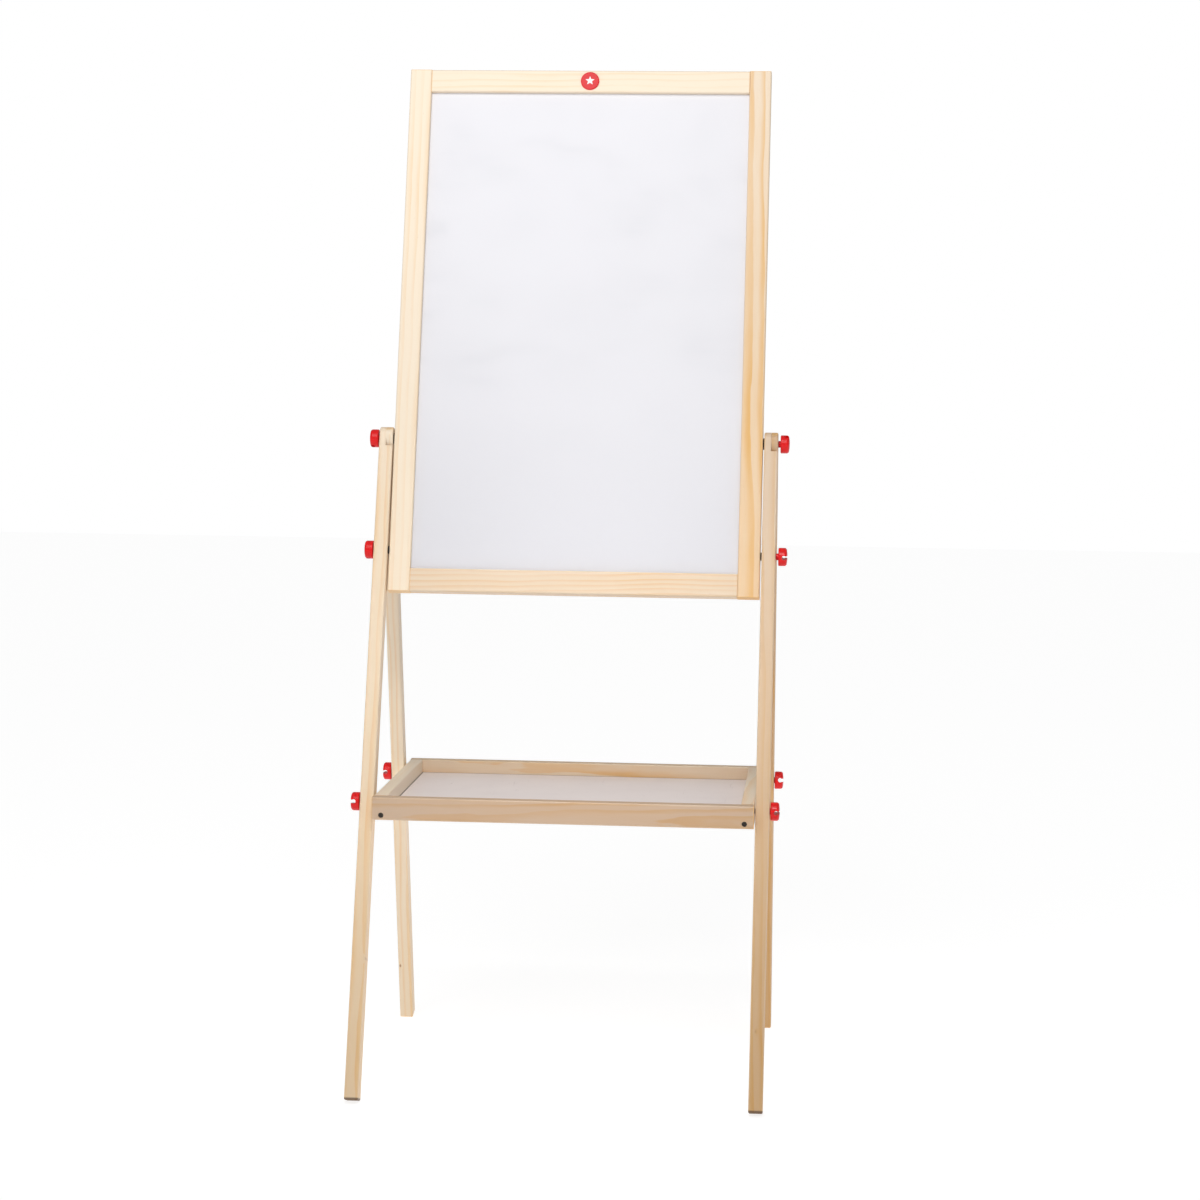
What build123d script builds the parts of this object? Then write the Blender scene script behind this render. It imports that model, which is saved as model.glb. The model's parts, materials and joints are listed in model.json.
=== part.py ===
from build123d import *
from math import cos, radians, sin, tan
import os

# Children's double-sided easel: a framed whiteboard and blackboard hung between
# two A-shaped pairs of pine legs, with a drawing tray below.
#
# Frame: millimetres, +Z up, +Y away from the child who faces the whiteboard, +X to
# that child's right. The origin is on the floor under the middle of the easel.

os.makedirs("parts", exist_ok=True)

# Stance
PIVOT_Z = 732.0          # height of the bolt that joins the legs and the board
FRONT_LEAN = 17.5        # front legs lean back, degrees from upright
REAR_LEAN = -15.0        # rear legs lean forward
BOARD_LEAN = 15.0        # the board stands a little steeper than the front legs

# Legs
LEG_WIDTH = 16.0         # along X
LEG_DEPTH = 20.0
LEG_INNER_X = 216.5      # inner face of both pairs, from the middle
LEG_ABOVE_PIVOT = 13.0
LEG_TOP_ROUND = 8.0
LEG_FOOT_ROUND = 2.2
ARRIS = 1.8              # rounding of every long wooden edge
LAP_GAP = 0.3            # between the two half-lapped cheeks
SHOULDER = 11.0          # where the lap's sloping shoulder starts, below the bolt
LAP_OVERCUT = 2.0

# Board
BOARD_WIDTH = 430.0
BOARD_ABOVE_PIVOT = 450.0
BOARD_BELOW_PIVOT = 182.0
FRAME_THICKNESS = 18.0
STILE_WIDTH = 25.5
RAIL_HEIGHT = 27.0
SHEET = 3.0              # thickness of each writing sheet, and of the tray's floor
FIELD_PROUD = 0.1        # the coated field of a sheet stands this much over its bare margin
FIELD_GAP = 0.3          # and stops this short of the wood around it
GROOVE_DEPTH = 6.0
GROOVE_SLACK = 0.1
DOWEL_RADIUS = 3.0
DOWEL_LENGTH = 30.0
DOWEL_FROM_EDGE = (6.5, 15.5)
BADGE_RADIUS = 11.0
BADGE_THICKNESS = 1.8
STAR_TIPS = 5
STAR_RADIUS = 5.6
STAR_WAIST = 0.46        # the inner corners' radius, as a share of the tips'
STAR_THICKNESS = 0.5
LOCK_BELOW_PIVOT = 134.0

# Tray
TRAY_HALF_WIDTH = 215.5
TRAY_TOP_Z = 333.0
TRAY_HEIGHT = 26.0
TRAY_RAIL = 15.0
TRAY_FRONT = 160.0       # front face, ahead of the pivot
TRAY_BACK = 158.0        # rear face, behind the pivot
TRAY_BOLT_Z = 323.0
FLOOR_TOP_BELOW_RIM = 15.5
FLOOR_GROOVE = 3.0
TRAY_SCREW_FROM_END = 10.5
TRAY_SCREW_Z = 312.6
SCREW_RADIUS = 1.75
SCREW_HEAD_RADIUS = 3.1
SCREW_HEAD_HEIGHT = 2.4
SCREW_SINK = 2.0
SCREW_LENGTH = 34.0
SCREW_CROSS = (3.6, 0.9, 1.2)    # each arm's length, width and depth

# Hardware
STUD_RADIUS = 3.0
RUNNING = 0.08           # radial clearance of a stud in its hole or insert
INSERT_RADIUS = 4.6
TRAY_INSERT_LENGTH = 12.0
BOARD_INSERT_LENGTH = 18.0
LOCK_INSERT_LENGTH = 10.0
STUD_TIP_SPACE = 2.0
STUD_TIP_CHAMFER = 0.8
WASHER_RADIUS = 6.7
WASHER_THICKNESS = 1.2
PAD_RADIUS = 4.6
PAD_GAP = 0.15
PAD_THICKNESS = 1.1
KNOB_RADIUS = 10.5
KNOB_THICKNESS = 10.5
KNOB_OUTER_ROUND = 2.8
KNOB_INNER_ROUND = 1.2
KNOB_DOME = 0.7
HUB_RADIUS = 3.9
HUB_GAP = 0.3
STUD_IN_KNOB = 2.8
KEYHOLE_RADIUS = 2.6
KEYHOLE_DEPTH = 6.7
SLOT_WIDTH = 3.9

# Worked-out places
HALF_DEPTH = LEG_DEPTH / 2
CHEEK = (LEG_WIDTH - LAP_GAP) / 2
SPREAD = radians(FRONT_LEAN - REAR_LEAN)
LEG_OUTER_X = LEG_INNER_X + LEG_WIDTH
FRONT_REACH = PIVOT_Z * tan(radians(FRONT_LEAN))
REAR_REACH = PIVOT_Z * tan(-radians(REAR_LEAN))
PIVOT_Y = (FRONT_REACH - REAR_REACH) / 2     # centres the easel over its origin
PIVOT = Vector(0, PIVOT_Y, PIVOT_Z)
TRAY_DROP = PIVOT_Z - TRAY_BOLT_Z
STUD_HOLE = STUD_RADIUS + RUNNING
BOARD_HEIGHT = BOARD_ABOVE_PIVOT + BOARD_BELOW_PIVOT
BOARD_MIDDLE = (BOARD_ABOVE_PIVOT - BOARD_BELOW_PIVOT) / 2
INSIDE_WIDTH = BOARD_WIDTH - 2 * STILE_WIDTH
INSIDE_HEIGHT = BOARD_HEIGHT - 2 * RAIL_HEIGHT
SIDES = {"left": -1, "right": 1}


def leg_plane(x, lean):
    """Side view of a leg at one x: local x runs backwards, local y up the leg."""
    a = radians(lean)
    return Plane(origin=(x, PIVOT_Y, PIVOT_Z), x_dir=(0, cos(a), -sin(a)), z_dir=(1, 0, 0))


def board_plane(forward=0.0):
    """The board's plane through the bolts: local x is X, local y up the board, z forward."""
    a = radians(BOARD_LEAN)
    normal = Vector(0, -cos(a), sin(a))
    return Plane(origin=PIVOT + normal * forward, x_dir=(1, 0, 0), z_dir=normal)


def on_leg(lean, below):
    """Y and Z of a point on a leg's centre line, a distance below the bolt."""
    a = radians(lean)
    return PIVOT_Y - below * sin(a), PIVOT_Z - below * cos(a)


def save(piece, label):
    """Name a finished piece and write its file."""
    piece.part.label = label
    export_step(piece.part, f"parts/{label}.step")


def rod(x_from, x_to, y, z, radius):
    """A plain cylinder along X, kept as a tool for cutting or adding."""
    with BuildPart() as solid:
        with BuildSketch(Plane(origin=(min(x_from, x_to), y, z), z_dir=(1, 0, 0))):
            Circle(radius)
        extrude(amount=abs(x_to - x_from))
    return solid.part


def board_slab(centre_x, centre_y, width, height, back, front):
    """A flat block in the board's plane, between two distances forward of the bolts."""
    with BuildPart() as solid:
        with BuildSketch(board_plane(back)):
            with Locations((centre_x, centre_y)):
                Rectangle(width, height)
        extrude(amount=front - back)
    return solid.part


def upright_block(low, high):
    """A block between two corners, square to the floor."""
    size = [b - a for a, b in zip(low, high)]
    with BuildPart() as solid:
        with Locations(tuple((a + b) / 2 for a, b in zip(low, high))):
            Box(*size)
    return solid.part


# ---------------------------------------------------------------- legs

def leg_low_x(side):
    """Lowest x of the legs on one side."""
    return LEG_INNER_X if side > 0 else -LEG_OUTER_X


def leg_length(lean):
    """Distance from the bolt to the foot's end, so that its rounded edge meets the floor."""
    a = abs(radians(lean))
    inset = HALF_DEPTH - LEG_FOOT_ROUND
    return LEG_FOOT_ROUND + (PIVOT_Z - LEG_FOOT_ROUND - inset * sin(a)) / cos(a)


def make_leg(label, side, lean, stud_holes, insert_holes):
    """One leg. Front and rear legs keep opposite halves of their thickness at the top.

    stud_holes and insert_holes list distances below the bolt.
    """
    front = lean > 0
    low_x = leg_low_x(side)
    length = leg_length(lean)
    with BuildPart() as leg:
        with BuildSketch(leg_plane(low_x, lean)) as outline:
            with Locations((0, (LEG_ABOVE_PIVOT - length) / 2)):
                Rectangle(LEG_DEPTH, LEG_ABOVE_PIVOT + length)
            fillet(outline.vertices().group_by(Axis.Y)[-1], LEG_TOP_ROUND)
            fillet(outline.vertices().group_by(Axis.Y)[0], LEG_FOOT_ROUND)
        extrude(amount=LEG_WIDTH)
        sides = leg.faces().filter_by(Axis.X).sort_by(Axis.X)
        fillet(sides[0].edges() + sides[-1].edges(), ARRIS)

        # The half lap's shoulder slopes the way the other leg runs, with room beside it.
        outward = -1 if front else 1
        slope = cos(SPREAD) / sin(SPREAD)
        start = (outward * (HALF_DEPTH + LAP_OVERCUT), -SHOULDER + LAP_OVERCUT * slope)
        end = (-start[0], -SHOULDER - (LEG_DEPTH + LAP_OVERCUT) * slope)
        roof = LEG_ABOVE_PIVOT + LAP_OVERCUT
        with BuildSketch(leg_plane(low_x + CHEEK if front else low_x, lean)):
            with BuildLine():
                Polyline(start, end, (end[0], roof), (start[0], roof), close=True)
            make_face()
        extrude(amount=LEG_WIDTH - CHEEK, mode=Mode.SUBTRACT)

        for below in stud_holes:
            add(rod(low_x, low_x + LEG_WIDTH, *on_leg(lean, below), STUD_HOLE), mode=Mode.SUBTRACT)
        for below in insert_holes:
            inner = side * LEG_INNER_X
            deep = side * (LEG_INNER_X + LOCK_INSERT_LENGTH)
            add(rod(inner, deep, *on_leg(lean, below), INSERT_RADIUS), mode=Mode.SUBTRACT)
    save(leg, label)


def make_legs():
    tray_bolt = {lean: TRAY_DROP / cos(radians(lean)) for lean in (FRONT_LEAN, REAR_LEAN)}
    for name, side in SIDES.items():
        holes = (0, LOCK_BELOW_PIVOT, tray_bolt[FRONT_LEAN])
        make_leg(f"front_leg_{name}", side, FRONT_LEAN, holes, (LOCK_BELOW_PIVOT,))
        make_leg(f"rear_leg_{name}", side, REAR_LEAN, (0, tray_bolt[REAR_LEAN]), ())


# ---------------------------------------------------------------- board

def groove():
    """The space both sheets' margins need inside the frame, with a little slack."""
    half = SHEET - FIELD_PROUD + GROOVE_SLACK
    width = INSIDE_WIDTH + 2 * GROOVE_DEPTH
    height = INSIDE_HEIGHT + 2 * GROOVE_DEPTH
    return board_slab(0, BOARD_MIDDLE, width, height, -half, half)


def corner_dowels():
    """The dowels of all four corners, as solids lying along X."""
    up = board_plane().y_dir
    ends = {1: BOARD_ABOVE_PIVOT, -1: -BOARD_BELOW_PIVOT}
    pegs = []
    for side in (-1, 1):
        for end, edge in ends.items():
            for inset in DOWEL_FROM_EDGE:
                place = PIVOT + up * (edge - end * inset)
                x = side * INSIDE_WIDTH / 2 - DOWEL_LENGTH / 2
                pegs.append(rod(x, x + DOWEL_LENGTH, place.Y, place.Z, DOWEL_RADIUS))
    return pegs


def make_frame_piece(label, centre_x, centre_y, width, height, insert_side=0):
    """A stile or a rail: softened along its grain, grooved, and bored for its dowels."""
    half = FRAME_THICKNESS / 2
    grain = board_plane().y_dir if height > width else Vector(1, 0, 0)
    with BuildPart() as piece:
        add(board_slab(centre_x, centre_y, width, height, -half, half))
        fillet(piece.edges().filter_by(Axis((0, 0, 0), grain)), ARRIS)
        add(groove(), mode=Mode.SUBTRACT)
        for peg in corner_dowels():
            add(peg, mode=Mode.SUBTRACT)
        if insert_side:
            outer = insert_side * BOARD_WIDTH / 2
            deep = outer - insert_side * BOARD_INSERT_LENGTH
            add(rod(outer, deep, PIVOT_Y, PIVOT_Z, INSERT_RADIUS), mode=Mode.SUBTRACT)
    save(piece, label)


def make_frame():
    for name, side in SIDES.items():
        x = side * (BOARD_WIDTH - STILE_WIDTH) / 2
        make_frame_piece(f"board_stile_{name}", x, BOARD_MIDDLE, STILE_WIDTH, BOARD_HEIGHT, side)
    top = BOARD_ABOVE_PIVOT - RAIL_HEIGHT / 2
    bottom = -BOARD_BELOW_PIVOT + RAIL_HEIGHT / 2
    make_frame_piece("board_rail_top", 0, top, INSIDE_WIDTH, RAIL_HEIGHT)
    make_frame_piece("board_rail_bottom", 0, bottom, INSIDE_WIDTH, RAIL_HEIGHT)
    with BuildPart() as pegs:
        for peg in corner_dowels():
            add(peg)
    save(pegs, "board_dowels")


def make_sheets():
    """The whiteboard in front and the blackboard behind, back to back in the groove."""
    reach = GROOVE_DEPTH - GROOVE_SLACK
    for label, forward in (("whiteboard_sheet", 1), ("blackboard_sheet", -1)):
        with BuildPart() as sheet:
            for margin, thickness in ((reach, SHEET - FIELD_PROUD), (-FIELD_GAP, SHEET)):
                width = INSIDE_WIDTH + 2 * margin
                height = INSIDE_HEIGHT + 2 * margin
                back, front = sorted((0, forward * thickness))
                add(board_slab(0, BOARD_MIDDLE, width, height, back, front))
        save(sheet, label)


def star_points():
    """The outer and inner corners of an upright star, in turn."""
    points = []
    for i in range(2 * STAR_TIPS):
        radius = STAR_RADIUS if i % 2 == 0 else STAR_RADIUS * STAR_WAIST
        turn = radians(90 + i * 180 / STAR_TIPS)
        points.append((radius * cos(turn), radius * sin(turn)))
    return points


def make_badge():
    """A round badge on the top rail, with a plain star let into its face."""
    height = BOARD_ABOVE_PIVOT - RAIL_HEIGHT / 2
    face = FRAME_THICKNESS / 2
    star_floor = face + BADGE_THICKNESS - STAR_THICKNESS
    with BuildPart() as star:
        with BuildSketch(board_plane(star_floor)):
            with Locations((0, height)):
                Polygon(*star_points(), align=None)
        extrude(amount=STAR_THICKNESS)
    with BuildPart() as badge:
        with BuildSketch(board_plane(face)):
            with Locations((0, height)):
                Circle(BADGE_RADIUS)
        extrude(amount=BADGE_THICKNESS)
        outward = Axis(PIVOT, board_plane().z_dir)
        fillet(badge.edges().filter_by(GeomType.CIRCLE).sort_by(outward)[-1], BADGE_THICKNESS / 2)
        add(star.part, mode=Mode.SUBTRACT)
    save(badge, "badge")
    save(star, "badge_star")


# ---------------------------------------------------------------- tray

def make_tray_rail(label, low, high, grain):
    """One side of the tray, grooved for the floor and bored for inserts and screws."""
    with BuildPart() as rail:
        add(upright_block(low, high))
        fillet(rail.edges().filter_by(grain), ARRIS)
        add(floor_block(FLOOR_GROOVE + GROOVE_SLACK, GROOVE_SLACK), mode=Mode.SUBTRACT)
        for cut in tray_insert_rods() + screw_solids(with_cross=False):
            add(cut, mode=Mode.SUBTRACT)
        for mouth in screw_mouths():
            add(mouth, mode=Mode.SUBTRACT)
    save(rail, label)


def floor_block(margin, slack=0.0, lift=0.0):
    """A block where the tray's floor lies.

    margin is how far it reaches past the rails' inner faces, slack how much thicker it
    is each way than the floor's bare margin, and lift how much higher its top is.
    """
    reach_x = TRAY_HALF_WIDTH - TRAY_RAIL + margin
    inner_front = PIVOT_Y - TRAY_FRONT + TRAY_RAIL
    inner_back = PIVOT_Y + TRAY_BACK - TRAY_RAIL
    top = TRAY_TOP_Z - FLOOR_TOP_BELOW_RIM
    return upright_block(
        (-reach_x, inner_front - margin, top - SHEET - slack),
        (reach_x, inner_back + margin, top - FIELD_PROUD + slack + lift),
    )


def tray_insert_rods():
    """Solid plugs the size of the four threaded inserts in the side rails."""
    plugs = []
    for side in (-1, 1):
        for lean in (FRONT_LEAN, REAR_LEAN):
            y, z = on_leg(lean, TRAY_DROP / cos(radians(lean)))
            outer = side * TRAY_HALF_WIDTH
            plugs.append(rod(outer, outer - side * TRAY_INSERT_LENGTH, y, z, INSERT_RADIUS))
    return plugs


def screw_places():
    """Face point and inward direction of each tray screw."""
    x = TRAY_HALF_WIDTH - TRAY_SCREW_FROM_END
    faces = ((PIVOT_Y - TRAY_FRONT, 1), (PIVOT_Y + TRAY_BACK, -1))
    return [(Vector(side * x, y, TRAY_SCREW_Z), inward) for side in (-1, 1) for y, inward in faces]


def screw_solids(with_cross):
    """Countersunk screws sunk below the rail's face, with or without their driver cross."""
    screws = []
    for face, inward in screw_places():
        head = Plane(origin=face + Vector(0, inward * SCREW_SINK, 0), z_dir=(0, inward, 0))
        with BuildPart() as screw:
            with BuildSketch(head):
                Circle(SCREW_HEAD_RADIUS)
            with BuildSketch(head.offset(SCREW_HEAD_HEIGHT)):
                Circle(SCREW_RADIUS)
            loft()
            with BuildSketch(head):
                Circle(SCREW_RADIUS)
            extrude(amount=SCREW_LENGTH)
            if with_cross:
                arm, bar, depth = SCREW_CROSS
                with BuildSketch(head):
                    Rectangle(arm, bar)
                    Rectangle(bar, arm)
                extrude(amount=depth, mode=Mode.SUBTRACT)
        screws.append(screw.part)
    return screws


def screw_mouths():
    """The round mouths above the sunken screw heads."""
    mouths = []
    for face, inward in screw_places():
        with BuildPart() as mouth:
            with BuildSketch(Plane(origin=face, z_dir=(0, inward, 0))):
                Circle(SCREW_HEAD_RADIUS)
            extrude(amount=SCREW_SINK)
        mouths.append(mouth.part)
    return mouths


def make_tray():
    front = PIVOT_Y - TRAY_FRONT
    back = PIVOT_Y + TRAY_BACK
    low_z = TRAY_TOP_Z - TRAY_HEIGHT
    wide = TRAY_HALF_WIDTH
    make_tray_rail("tray_rail_front", (-wide, front, low_z), (wide, front + TRAY_RAIL, TRAY_TOP_Z), Axis.X)
    make_tray_rail("tray_rail_rear", (-wide, back - TRAY_RAIL, low_z), (wide, back, TRAY_TOP_Z), Axis.X)
    for name, side in SIDES.items():
        xs = sorted((side * wide, side * (wide - TRAY_RAIL)))
        low = (xs[0], front + TRAY_RAIL, low_z)
        high = (xs[1], back - TRAY_RAIL, TRAY_TOP_Z)
        make_tray_rail(f"tray_side_{name}", low, high, Axis.Y)
    with BuildPart() as floor:
        add(floor_block(FLOOR_GROOVE))
        add(floor_block(-FIELD_GAP, lift=FIELD_PROUD))
    save(floor, "tray_floor")
    with BuildPart() as screws:
        for screw in screw_solids(with_cross=True):
            add(screw)
    save(screws, "tray_screws")


# ---------------------------------------------------------------- metal and plastic

def make_inserts():
    """Threaded inserts, as plain sleeves, in groups by the wooden part that holds them."""
    lock_y, lock_z = on_leg(FRONT_LEAN, LOCK_BELOW_PIVOT)
    with BuildPart() as board_inserts:
        for side in (-1, 1):
            outer = side * BOARD_WIDTH / 2
            deep = outer - side * BOARD_INSERT_LENGTH
            add(rod(outer, deep, PIVOT_Y, PIVOT_Z, INSERT_RADIUS))
            add(rod(outer, deep, PIVOT_Y, PIVOT_Z, STUD_HOLE), mode=Mode.SUBTRACT)
    save(board_inserts, "board_inserts")
    with BuildPart() as lock_inserts:
        for side in (-1, 1):
            inner = side * LEG_INNER_X
            deep = side * (LEG_INNER_X + LOCK_INSERT_LENGTH)
            add(rod(inner, deep, lock_y, lock_z, INSERT_RADIUS))
            add(rod(inner, deep, lock_y, lock_z, STUD_HOLE), mode=Mode.SUBTRACT)
    save(lock_inserts, "leg_lock_inserts")
    with BuildPart() as tray_inserts:
        for plug in tray_insert_rods():
            add(plug)
        for lean in (FRONT_LEAN, REAR_LEAN):
            y, z = on_leg(lean, TRAY_DROP / cos(radians(lean)))
            add(rod(-TRAY_HALF_WIDTH, TRAY_HALF_WIDTH, y, z, STUD_HOLE), mode=Mode.SUBTRACT)
    save(tray_inserts, "tray_inserts")


def make_washers():
    """Thin black washers that keep the board off the legs."""
    with BuildPart() as washers:
        for side in (-1, 1):
            inner = side * LEG_INNER_X
            add(rod(inner, inner - side * WASHER_THICKNESS, PIVOT_Y, PIVOT_Z, WASHER_RADIUS))
            add(rod(inner, inner - side * WASHER_THICKNESS, PIVOT_Y, PIVOT_Z, STUD_HOLE), mode=Mode.SUBTRACT)
    save(washers, "pivot_washers")


def make_knob(label, side, y, z, stand_off, turn, stud_end):
    """A round plastic knob with a keyhole slot right across it, and its steel stud.

    stand_off is the hub's height over the leg, turn the slot's direction in degrees from
    level, and stud_end the x, measured from the middle, at which the stud stops.
    """
    a = radians(turn)
    base = Plane(origin=(side * LEG_OUTER_X, y, z), x_dir=(0, cos(a), sin(a)), z_dir=(side, 0, 0))
    outer = stand_off + KNOB_THICKNESS
    flat = KNOB_RADIUS - KNOB_OUTER_ROUND
    halfway = (flat / 2, outer - KNOB_DOME / 4)     # a shallow dome has dropped a quarter by here
    profile = Plane(origin=base.origin, x_dir=base.x_dir, z_dir=-base.y_dir)
    with BuildPart() as knob:
        with BuildSketch(profile):
            with BuildLine():
                under = Polyline((0, HUB_GAP), (HUB_RADIUS, HUB_GAP), (HUB_RADIUS, stand_off),
                                 (KNOB_RADIUS - KNOB_INNER_ROUND, stand_off))
                inner = RadiusArc(under @ 1, (KNOB_RADIUS, stand_off + KNOB_INNER_ROUND),
                                  -KNOB_INNER_ROUND)
                wall = Line(inner @ 1, (KNOB_RADIUS, outer - KNOB_DOME - KNOB_OUTER_ROUND))
                rim = RadiusArc(wall @ 1, (flat, outer - KNOB_DOME), -KNOB_OUTER_ROUND)
                face = ThreePointArc(rim @ 1, halfway, (0, outer))
                Line(face @ 1, (0, HUB_GAP))
            make_face()
        revolve(axis=Axis(base.origin, base.z_dir))
        keyhole = outer - KEYHOLE_DEPTH + KEYHOLE_RADIUS
        with BuildSketch(Plane(origin=base.origin, x_dir=base.y_dir, z_dir=base.x_dir)):
            with Locations((0, keyhole)):
                Circle(KEYHOLE_RADIUS)
            with Locations((0, keyhole + KEYHOLE_DEPTH / 2)):
                Rectangle(SLOT_WIDTH, KEYHOLE_DEPTH)
        extrude(amount=KNOB_RADIUS, both=True, mode=Mode.SUBTRACT)
        top = side * (LEG_OUTER_X + stand_off + STUD_IN_KNOB)
        add(rod(side * LEG_OUTER_X, top, y, z, STUD_RADIUS), mode=Mode.SUBTRACT)
    save(knob, f"knob_{label}")

    with BuildPart() as stud:
        add(rod(top, side * stud_end, y, z, STUD_RADIUS))
        tip = stud.edges().filter_by(GeomType.CIRCLE).sort_by(Axis.X)[0 if side > 0 else -1]
        chamfer(tip, STUD_TIP_CHAMFER)
    save(stud, f"stud_{label}")


# Each knob as it was left: hub height over the leg and slot direction
KNOB_SETTINGS = {
    "pivot_left": (1.5, 62), "pivot_right": (2.8, 118),
    "lock_left": (0.9, 76), "lock_right": (3.1, 3.5),
    "tray_front_left": (0.9, -7), "tray_front_right": (0.9, 2.5),
    "tray_rear_left": (0.9, 0.5), "tray_rear_right": (0.9, -8),
}


def make_knobs():
    pivot = (PIVOT_Y, PIVOT_Z)
    lock = on_leg(FRONT_LEAN, LOCK_BELOW_PIVOT)
    tray_front = on_leg(FRONT_LEAN, TRAY_DROP / cos(radians(FRONT_LEAN)))
    tray_rear = on_leg(REAR_LEAN, TRAY_DROP / cos(radians(REAR_LEAN)))
    pad_outer = LEG_INNER_X - PAD_GAP
    stops = {
        "pivot": (pivot, BOARD_WIDTH / 2 - BOARD_INSERT_LENGTH + STUD_TIP_SPACE),
        "lock": (lock, pad_outer),
        "tray_front": (tray_front, TRAY_HALF_WIDTH - TRAY_INSERT_LENGTH + STUD_TIP_SPACE),
        "tray_rear": (tray_rear, LEG_INNER_X),
    }
    for name, side in SIDES.items():
        for place, ((y, z), stud_end) in stops.items():
            make_knob(f"{place}_{name}", side, y, z, *KNOB_SETTINGS[f"{place}_{name}"], stud_end)
        with BuildPart() as pad:
            add(rod(side * pad_outer, side * (pad_outer - PAD_THICKNESS), *lock, PAD_RADIUS))
        save(pad, f"lock_pad_{name}")


make_legs()
make_frame()
make_sheets()
make_badge()
make_tray()
make_inserts()
make_washers()
make_knobs()
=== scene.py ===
"""Finishes, fasteners and studio of a children's double-sided easel, laid out as an add-on.

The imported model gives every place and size. Pattern sizes are in millimetres, because
each pattern is read in a piece's own frame in millimetres; everything else is in metres.
"""
import json
import math

import bpy
from bpy.props import FloatProperty, FloatVectorProperty, IntProperty, PointerProperty
from bpy.types import Operator, Panel, PropertyGroup
from mathutils import Matrix, Vector


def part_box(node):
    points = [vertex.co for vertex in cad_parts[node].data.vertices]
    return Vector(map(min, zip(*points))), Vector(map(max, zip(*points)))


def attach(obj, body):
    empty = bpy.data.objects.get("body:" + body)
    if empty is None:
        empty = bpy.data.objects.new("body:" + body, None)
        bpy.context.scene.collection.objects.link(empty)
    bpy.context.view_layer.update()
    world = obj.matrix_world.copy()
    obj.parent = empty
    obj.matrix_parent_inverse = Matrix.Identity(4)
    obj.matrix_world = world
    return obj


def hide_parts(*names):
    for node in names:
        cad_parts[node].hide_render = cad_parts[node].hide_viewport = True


bl_info = {
    "name": "Children's Easel",
    "version": (1, 0, 0),
    "blender": (4, 5, 0),
    "location": "View3D > Sidebar > Easel",
    "description": "Gives a packed children's easel its finishes, fasteners and studio",
    "category": "Object",
}

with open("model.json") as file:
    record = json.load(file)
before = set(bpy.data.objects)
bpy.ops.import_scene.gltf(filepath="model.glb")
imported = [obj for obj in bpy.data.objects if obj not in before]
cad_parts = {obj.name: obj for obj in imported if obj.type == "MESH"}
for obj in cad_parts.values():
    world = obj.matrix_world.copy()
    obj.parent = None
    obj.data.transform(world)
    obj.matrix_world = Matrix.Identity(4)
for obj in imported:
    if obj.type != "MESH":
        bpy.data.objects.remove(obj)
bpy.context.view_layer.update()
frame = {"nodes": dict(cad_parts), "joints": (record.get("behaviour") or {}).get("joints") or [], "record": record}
NODES = frame["nodes"]
JOINTS = {joint["name"]: joint for joint in frame["joints"]}
MOUNTS = {mount["name"]: mount for mount in frame["record"]["mounts"]}

MM = 0.001
ACROSS = Vector((1, 0, 0))
BACK = Vector((0, 1, 0))
UP = Vector((0, 0, 1))
WHITE = (1.0, 1.0, 1.0, 1.0)
BLACK = (0.0, 0.0, 0.0, 1.0)


# ---------------------------------------------------------------- places and directions

def joint_place(name):
    """A joint's place, brought to the easel's middle plane."""
    _, y, z = JOINTS[name]["pos_m"]
    return Vector((0, y, z))


PIVOT = joint_place("board_tilt")
FRONT_LEG_RUN = (PIVOT - joint_place("knob_tray_front_left_turn")).normalized()
REAR_LEG_RUN = (PIVOT - joint_place("knob_tray_rear_left_turn")).normalized()
BOARD_OUT = Vector(MOUNTS["whiteboard_face"]["axis"]).normalized()
BOARD_UP = BOARD_OUT.cross(ACROSS)


class PieceFrame:
    """A piece's own frame: local z runs along its grain, local x across its broad face.

    centre and half are measured on the node's mesh along those axes, in metres.
    """

    def __init__(self, node, along, across):
        depth = along.cross(across)
        self.axes = Matrix((across, depth, along))
        points = [self.axes @ vertex.co for vertex in NODES[node].data.vertices]
        low = Vector(min(point[i] for point in points) for i in range(3))
        high = Vector(max(point[i] for point in points) for i in range(3))
        self.half = (high - low) / 2
        self.centre = self.axes.transposed() @ ((low + high) / 2)

    @property
    def turn(self):
        return self.axes.transposed().to_euler()


# ---------------------------------------------------------------- shader building

def linear(red, green, blue):
    """A display colour, 0 to 255 a channel, as the linear colour that a shader takes."""
    def channel(value):
        share = value / 255
        return share / 12.92 if share <= 0.04045 else ((share + 0.055) / 1.055) ** 2.4
    return channel(red), channel(green), channel(blue), 1.0


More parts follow.
